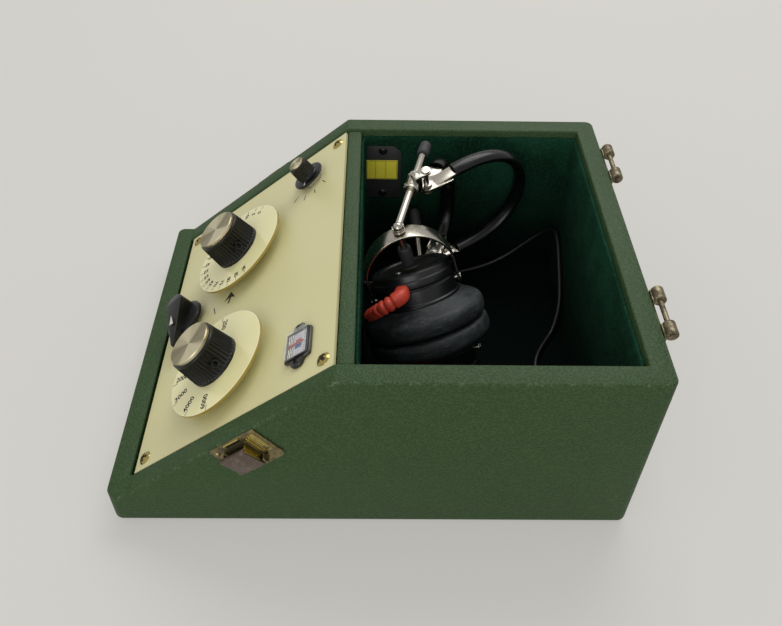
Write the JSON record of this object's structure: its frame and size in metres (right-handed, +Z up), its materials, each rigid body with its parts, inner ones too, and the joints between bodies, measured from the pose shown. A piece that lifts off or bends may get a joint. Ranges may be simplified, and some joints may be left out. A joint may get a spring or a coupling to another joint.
{
  "type": "portable audiometer",
  "caption": "Slope-fronted hearing-test instrument in a leathercloth case: two dial controls, a selector, a pointer knob, an edgewise meter and a stowed two-ear headset.",
  "frame": {"origin": "middle of the underside of the case, on the surface it stands on", "axes": "+X is the user's right, -Y the front with the sloped panel, +Y the hinged back, +Z up"},
  "size_m": [0.2164, 0.2605, 0.1109],
  "materials": {
    "case_wood": "bare ply",
    "case_leatherette": "pebbled green leathercloth over wood",
    "felt_green": "short felt",
    "stud_brass": "worn",
    "old_brass": "antique, worn",
    "steel": "plated, slightly dull",
    "lever_brown": "dark bronze",
    "panel_paint": "satin cream-green enamel",
    "cover_paint": "matt dark green",
    "screw_black": "blackened steel",
    "dial_cream": "clear edge, printed face",
    "knob_black": "moulded phenolic",
    "cap_metal": "spun",
    "tin_plate": "tinned",
    "phenolic": "laminated phenolic",
    "nickel": "nickel plated",
    "knob_grey": "moulded",
    "meter_bezel": "clear moulding, white inside",
    "clear_window": "clear plastic",
    "needle_red": "matt",
    "board_green": "etched laminate",
    "spacer_white": "nylon",
    "iron": "varnished laminations",
    "battery_jacket": "plain jacket",
    "spring_steel": "spring temper",
    "rubber_black": "moulded",
    "band_dark": "sleeved spring steel",
    "receiver_black": "moulded phenolic, red rubber boot",
    "cushion_rubber": "soft moulded",
    "cord_black": "round, smooth"
  },
  "bodies": {
    "case": {"case_bottom": "case_wood", "case_side_left": "case_leatherette", "case_side_right": "case_leatherette", "case_front": "case_leatherette", "case_back": "case_leatherette", "partition": "case_leatherette", "panel_cleats": "case_wood", "felt_lining": "felt_green", "back_studs": "stud_brass", "hinge_leaves": "old_brass", "steel_pins": "steel", "brass_screws": "old_brass", "latch_plates": "old_brass", "panel_plate": "panel_paint", "cover_plate": "cover_paint", "black_screws": "screw_black", "attenuator_body": "tin_plate", "frequency_switch": "phenolic", "small_switches": "phenolic", "control_nuts": "nickel", "meter_housing": "meter_bezel", "meter_window": "clear_window", "circuit_board": "board_green", "board_spacers": "spacer_white", "output_transformer": "iron", "battery": "battery_jacket", "battery_clip": "spring_steel", "cord_grommet": "rubber_black", "headset_cord": "cord_black", "cord_coil": "cord_black", "headset_leads": "cord_black"},
    "latch_left": {"latch_lever_left": "lever_brown"},
    "latch_right": {"latch_lever_right": "lever_brown"},
    "decibel_control": {"decibel_dial": "dial_cream", "decibel_knob": "knob_black", "decibel_cap": "cap_metal", "decibel_shaft": "steel"},
    "frequency_control": {"frequency_dial": "dial_cream", "frequency_knob": "knob_black", "frequency_cap": "cap_metal", "frequency_shaft": "steel"},
    "selector": {"selector_knob": "knob_grey", "selector_cap": "cap_metal", "selector_shaft": "steel"},
    "pointer": {"pointer_knob": "knob_black", "pointer_shaft": "steel"},
    "needle": {"meter_needle": "needle_red"},
    "headset_base": {"rod_lower": "steel", "rod_tips_lower": "rubber_black", "yoke_lower": "steel"},
    "ear_lower": {"receiver_lower": "receiver_black", "cushion_lower": "cushion_rubber"},
    "headband": {"headset_clamps": "nickel", "headband_front": "band_dark"},
    "band_rear": {"headband_rear": "band_dark"},
    "rod_upper": {"rod_upper": "steel", "rod_tips_upper": "rubber_black", "yoke_upper": "steel"},
    "ear_upper": {"receiver_upper": "receiver_black", "cushion_upper": "cushion_rubber"}
  },
  "joints": [
    {"name": "latch_left_turn", "type": "hinge", "parent": "case", "child": "latch_left", "pos_m": [-0.1047, -0.05316, 0.05276], "axis": [0, -0.7771, -0.6293], "range_deg": [0, 100]},
    {"name": "latch_right_turn", "type": "hinge", "parent": "case", "child": "latch_right", "pos_m": [0.1047, -0.05316, 0.05276], "axis": [0, 0.7771, 0.6293], "range_deg": [0, 100]},
    {"name": "decibel_turn", "type": "hinge", "parent": "case", "child": "decibel_control", "pos_m": [-0.0321, -0.07156, 0.06038], "axis": [0, -0.6293, 0.7771], "range_deg": [-150, 150]},
    {"name": "frequency_turn", "type": "hinge", "parent": "case", "child": "frequency_control", "pos_m": [0.0531, -0.07203, 0.06], "axis": [0, -0.6293, 0.7771], "range_deg": [-150, 150]},
    {"name": "selector_turn", "type": "hinge", "parent": "case", "child": "selector", "pos_m": [-0.0645, -0.0355, 0.08958], "axis": [0, -0.6293, 0.7771], "range_deg": [-45, 45]},
    {"name": "pointer_turn", "type": "hinge", "parent": "case", "child": "pointer", "pos_m": [-0.003, -0.10272, 0.03514], "axis": [0, -0.6293, 0.7771], "range_deg": [-30, 60]},
    {"name": "needle_swing", "type": "hinge", "parent": "case", "child": "needle", "pos_m": [0.067, -0.03604, 0.08914], "axis": [0, -0.6293, 0.7771], "range_deg": [-25, 25], "stiffness_Nm_per_rad": 0.0004},
    {"name": "headset_lift_out", "type": "slide", "parent": "case", "child": "headset_base", "axis": [0, 0, 1], "range_m": [0, 0.12], "deforming": ["headset_leads"]},
    {"name": "ear_lower_tilt", "type": "hinge", "parent": "headset_base", "child": "ear_lower", "pos_m": [0.01942, 0.03498, 0.03147], "axis": [-0.1712, 0.9542, 0.2454], "range_deg": [-1, 1], "deforming": ["headset_leads"]},
    {"name": "clamp_slide", "type": "slide", "parent": "headset_base", "child": "headband", "axis": [-0.8539, -0.1069, 0.5093], "range_m": [0, 0.003], "deforming": ["headset_leads"]},
    {"name": "band_spread", "type": "hinge", "parent": "headband", "child": "band_rear", "pos_m": [-0.04892, 0.03195, 0.07047], "axis": [-0.1351, 0.1123, -0.9844], "range_deg": [-12, 0]},
    {"name": "rod_upper_slide", "type": "slide", "parent": "headband", "child": "rod_upper", "axis": [-0.9755, 0.2201, -0.004], "range_m": [0, 0.003], "deforming": ["headset_leads"]},
    {"name": "ear_upper_tilt", "type": "hinge", "parent": "rod_upper", "child": "ear_upper", "pos_m": [0.00018, 0.02282, 0.06533], "axis": [-0.1712, 0.9542, 0.2454], "range_deg": [-1, 1], "deforming": ["headset_leads"]}
  ]
}
